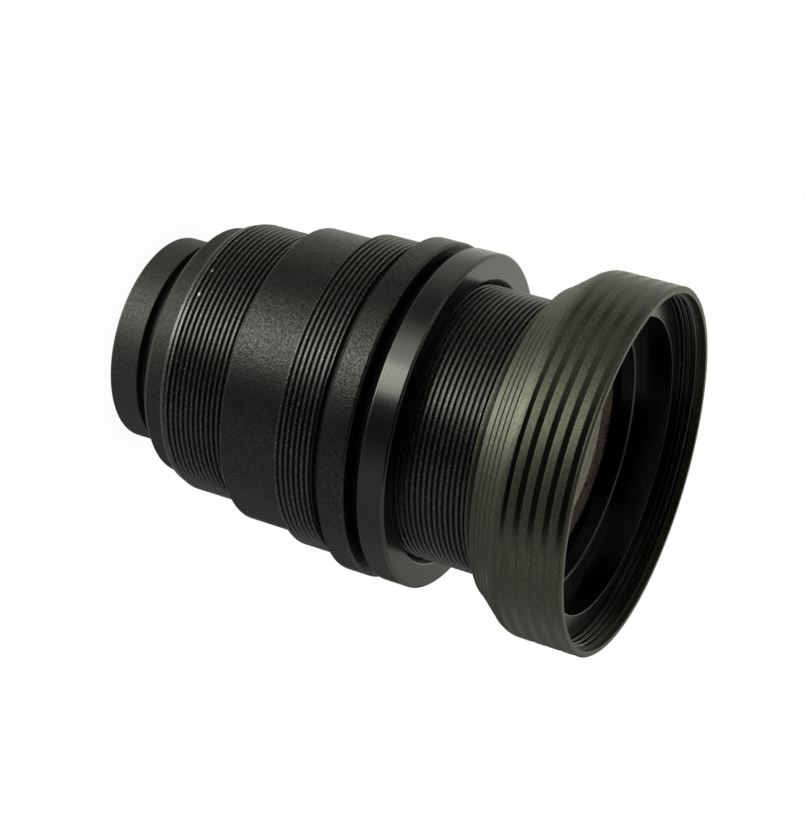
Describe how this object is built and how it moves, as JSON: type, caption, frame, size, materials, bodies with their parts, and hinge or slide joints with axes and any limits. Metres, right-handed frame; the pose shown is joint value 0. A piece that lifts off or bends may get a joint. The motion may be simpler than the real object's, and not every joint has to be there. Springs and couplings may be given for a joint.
{
  "type": "led lens",
  "caption": "Focusing projection lens for an LED spotlight: stepped black barrel with outside mounting threads, lock ring, screwed front tube and a ribbed, flared hood.",
  "frame": {"origin": "centre of the rear face, on which the lens stands", "axes": "+Z along the optical axis, from the rear cell to the hood; X and Y are free"},
  "size_m": [0.0476, 0.0476, 0.0689],
  "materials": {
    "black_barrel": "black anodised, bead-blasted satin",
    "black_ring": "black anodised, fine turned satin",
    "black_hood": "black anodised, slightly olive, turned satin",
    "black_inner": "black anodised, matte",
    "glass": "polished, thin anti-reflection coating"
  },
  "bodies": {
    "base": {"main_barrel": "black_barrel", "rear_cell": "black_barrel", "rear_retaining_ring": "black_ring", "rear_element": "glass", "rear_spacer_ring": "black_inner", "rear_inner_element": "glass"},
    "front_optics": {"front_element": "glass", "front_retaining_ring": "black_ring", "front_spacer_ring": "black_inner", "front_inner_element": "glass"},
    "front_barrel": {"front_barrel": "black_hood"},
    "lock_ring": {"lock_ring": "black_ring"}
  },
  "joints": [
    {"name": "focus_travel", "type": "slide", "parent": "base", "child": "front_optics", "axis": [0, 0, 1], "range_m": [-0.0086, 0.0061]},
    {"name": "focus_turn", "type": "hinge", "parent": "front_optics", "child": "front_barrel", "pos_m": [0, 0, 0.06], "axis": [0, 0, 1], "range_deg": [-4080, 2880]},
    {"name": "lock_ring_turn", "type": "hinge", "parent": "base", "child": "lock_ring", "pos_m": [0, 0, 0.042], "axis": [0, 0, 1], "range_deg": [0, 90]}
  ],
  "couplings": [
    {"joint": "focus_travel", "follows": "focus_turn", "m_per_rad": 0.00011937}
  ]
}
